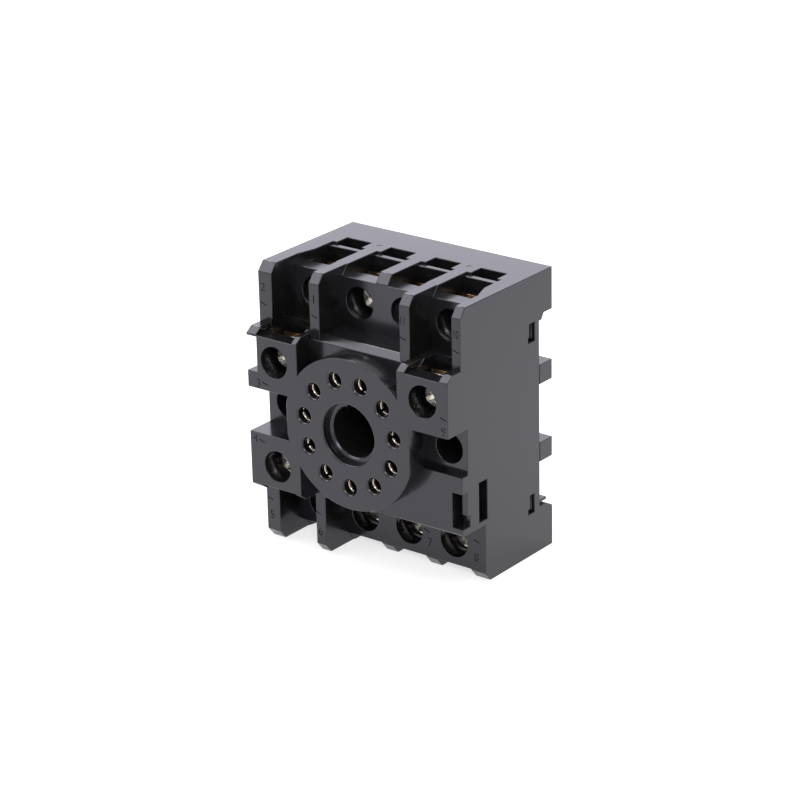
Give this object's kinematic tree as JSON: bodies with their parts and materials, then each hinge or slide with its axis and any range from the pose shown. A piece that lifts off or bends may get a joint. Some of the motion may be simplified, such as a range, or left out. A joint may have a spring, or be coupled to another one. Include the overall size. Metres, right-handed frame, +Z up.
{
  "type": "relay socket",
  "caption": "Plug-in relay socket: round pin face with keyed centre hole, two deep rows of screw terminals, raised terminal pads, rail hooks and a sprung rail latch.",
  "frame": {"origin": "middle of the base in plan, on the plane that the lower end stands on", "axes": "+X to the right as seen from the pin face, +Y towards the rail, +Z up"},
  "size_m": [0.0496, 0.0346, 0.0594],
  "materials": {
    "black_body": "satin moulded, black",
    "black_plate": "satin moulded, black",
    "black_latch": "satin moulded, black",
    "spring_steel": "bright spring wire",
    "contact_bronze": "bright phosphor bronze",
    "bar_brass": "stamped brass",
    "clamp_steel": "plated steel",
    "screw_nickel": "nickel plated steel"
  },
  "bodies": {
    "base": {"housing": "black_body", "rear_plate": "black_plate", "latch_spring_left": "spring_steel", "latch_spring_right": "spring_steel", "contact_1": "contact_bronze", "contact_2": "contact_bronze", "contact_3": "contact_bronze", "contact_4": "contact_bronze", "contact_5": "contact_bronze", "contact_6": "contact_bronze", "contact_7": "contact_bronze", "contact_8": "contact_bronze", "contact_9": "contact_bronze", "contact_10": "contact_bronze", "contact_11": "contact_bronze", "bar_1": "bar_brass", "bar_2": "bar_brass", "bar_3": "bar_brass", "bar_4": "bar_brass", "bar_5": "bar_brass", "bar_6": "bar_brass", "bar_7": "bar_brass", "bar_8": "bar_brass", "bar_9": "bar_brass", "bar_10": "bar_brass", "bar_11": "bar_brass"},
    "latch": {"rail_latch": "black_latch"},
    "clamp_body_1": {"clamp_1": "clamp_steel"},
    "screw_body_1": {"screw_1": "screw_nickel"},
    "clamp_body_2": {"clamp_2": "clamp_steel"},
    "screw_body_2": {"screw_2": "screw_nickel"},
    "clamp_body_3": {"clamp_3": "clamp_steel"},
    "screw_body_3": {"screw_3": "screw_nickel"},
    "clamp_body_4": {"clamp_4": "clamp_steel"},
    "screw_body_4": {"screw_4": "screw_nickel"},
    "clamp_body_5": {"clamp_5": "clamp_steel"},
    "screw_body_5": {"screw_5": "screw_nickel"},
    "clamp_body_6": {"clamp_6": "clamp_steel"},
    "screw_body_6": {"screw_6": "screw_nickel"},
    "clamp_body_7": {"clamp_7": "clamp_steel"},
    "screw_body_7": {"screw_7": "screw_nickel"},
    "clamp_body_8": {"clamp_8": "clamp_steel"},
    "screw_body_8": {"screw_8": "screw_nickel"},
    "clamp_body_9": {"clamp_9": "clamp_steel"},
    "screw_body_9": {"screw_9": "screw_nickel"},
    "clamp_body_10": {"clamp_10": "clamp_steel"},
    "screw_body_10": {"screw_10": "screw_nickel"},
    "clamp_body_11": {"clamp_11": "clamp_steel"},
    "screw_body_11": {"screw_11": "screw_nickel"}
  },
  "joints": [
    {"name": "rail_latch_slide", "type": "slide", "parent": "base", "child": "latch", "axis": [0, 0, -1], "range_m": [0, 0.0024], "stiffness_N_per_m": 900, "springref_m": -0.0015, "deforming": ["latch_spring_left", "latch_spring_right"]},
    {"name": "clamp_1_lift", "type": "slide", "parent": "base", "child": "clamp_body_1", "axis": [0, -1, 0], "range_m": [0, 0.0024]},
    {"name": "screw_1_turn", "type": "hinge", "parent": "clamp_body_1", "child": "screw_body_1", "pos_m": [-0.00515, 0.00065, 0.05245], "axis": [0, -1, 0], "range_deg": [0, 1440.5]},
    {"name": "clamp_2_lift", "type": "slide", "parent": "base", "child": "clamp_body_2", "axis": [0, -1, 0], "range_m": [0, 0.0024]},
    {"name": "screw_2_turn", "type": "hinge", "parent": "clamp_body_2", "child": "screw_body_2", "pos_m": [-0.01625, 0.00065, 0.05245], "axis": [0, -1, 0], "range_deg": [0, 1440.5]},
    {"name": "clamp_3_lift", "type": "slide", "parent": "base", "child": "clamp_body_3", "axis": [0, -1, 0], "range_m": [0, 0.0024]},
    {"name": "screw_3_turn", "type": "hinge", "parent": "clamp_body_3", "child": "screw_body_3", "pos_m": [-0.01795, -0.01105, 0.04085], "axis": [0, -1, 0], "range_deg": [0, 1440.5]},
    {"name": "clamp_4_lift", "type": "slide", "parent": "base", "child": "clamp_body_4", "axis": [0, -1, 0], "range_m": [0, 0.0024]},
    {"name": "screw_4_turn", "type": "hinge", "parent": "clamp_body_4", "child": "screw_body_4", "pos_m": [-0.01795, -0.01105, 0.01855], "axis": [0, -1, 0], "range_deg": [0, 1440.5]},
    {"name": "clamp_5_lift", "type": "slide", "parent": "base", "child": "clamp_body_5", "axis": [0, -1, 0], "range_m": [0, 0.0024]},
    {"name": "screw_5_turn", "type": "hinge", "parent": "clamp_body_5", "child": "screw_body_5", "pos_m": [-0.01625, 0.00065, 0.00695], "axis": [0, -1, 0], "range_deg": [0, 1440.5]},
    {"name": "clamp_6_lift", "type": "slide", "parent": "base", "child": "clamp_body_6", "axis": [0, -1, 0], "range_m": [0, 0.0024]},
    {"name": "screw_6_turn", "type": "hinge", "parent": "clamp_body_6", "child": "screw_body_6", "pos_m": [-0.00515, 0.00065, 0.00695], "axis": [0, -1, 0], "range_deg": [0, 1440.5]},
    {"name": "clamp_7_lift", "type": "slide", "parent": "base", "child": "clamp_body_7", "axis": [0, -1, 0], "range_m": [0, 0.0024]},
    {"name": "screw_7_turn", "type": "hinge", "parent": "clamp_body_7", "child": "screw_body_7", "pos_m": [0.00595, 0.00065, 0.00695], "axis": [0, -1, 0], "range_deg": [0, 1440.5]},
    {"name": "clamp_8_lift", "type": "slide", "parent": "base", "child": "clamp_body_8", "axis": [0, -1, 0], "range_m": [0, 0.0024]},
    {"name": "screw_8_turn", "type": "hinge", "parent": "clamp_body_8", "child": "screw_body_8", "pos_m": [0.01705, 0.00065, 0.00695], "axis": [0, -1, 0], "range_deg": [0, 1440.5]},
    {"name": "clamp_9_lift", "type": "slide", "parent": "base", "child": "clamp_body_9", "axis": [0, -1, 0], "range_m": [0, 0.0024]},
    {"name": "screw_9_turn", "type": "hinge", "parent": "clamp_body_9", "child": "screw_body_9", "pos_m": [0.01875, -0.01105, 0.04085], "axis": [0, -1, 0], "range_deg": [0, 1440.5]},
    {"name": "clamp_10_lift", "type": "slide", "parent": "base", "child": "clamp_body_10", "axis": [0, -1, 0], "range_m": [0, 0.0024]},
    {"name": "screw_10_turn", "type": "hinge", "parent": "clamp_body_10", "child": "screw_body_10", "pos_m": [0.01705, 0.00065, 0.05245], "axis": [0, -1, 0], "range_deg": [0, 1440.5]},
    {"name": "clamp_11_lift", "type": "slide", "parent": "base", "child": "clamp_body_11", "axis": [0, -1, 0], "range_m": [0, 0.0024]},
    {"name": "screw_11_turn", "type": "hinge", "parent": "clamp_body_11", "child": "screw_body_11", "pos_m": [0.00595, 0.00065, 0.05245], "axis": [0, -1, 0], "range_deg": [0, 1440.5]}
  ],
  "couplings": [
    {"joint": "screw_1_turn", "follows": "clamp_1_lift", "rad_per_m": 10472},
    {"joint": "screw_2_turn", "follows": "clamp_2_lift", "rad_per_m": 10472},
    {"joint": "screw_3_turn", "follows": "clamp_3_lift", "rad_per_m": 10472},
    {"joint": "screw_4_turn", "follows": "clamp_4_lift", "rad_per_m": 10472},
    {"joint": "screw_5_turn", "follows": "clamp_5_lift", "rad_per_m": 10472},
    {"joint": "screw_6_turn", "follows": "clamp_6_lift", "rad_per_m": 10472},
    {"joint": "screw_7_turn", "follows": "clamp_7_lift", "rad_per_m": 10472},
    {"joint": "screw_8_turn", "follows": "clamp_8_lift", "rad_per_m": 10472},
    {"joint": "screw_9_turn", "follows": "clamp_9_lift", "rad_per_m": 10472},
    {"joint": "screw_10_turn", "follows": "clamp_10_lift", "rad_per_m": 10472},
    {"joint": "screw_11_turn", "follows": "clamp_11_lift", "rad_per_m": 10472}
  ]
}
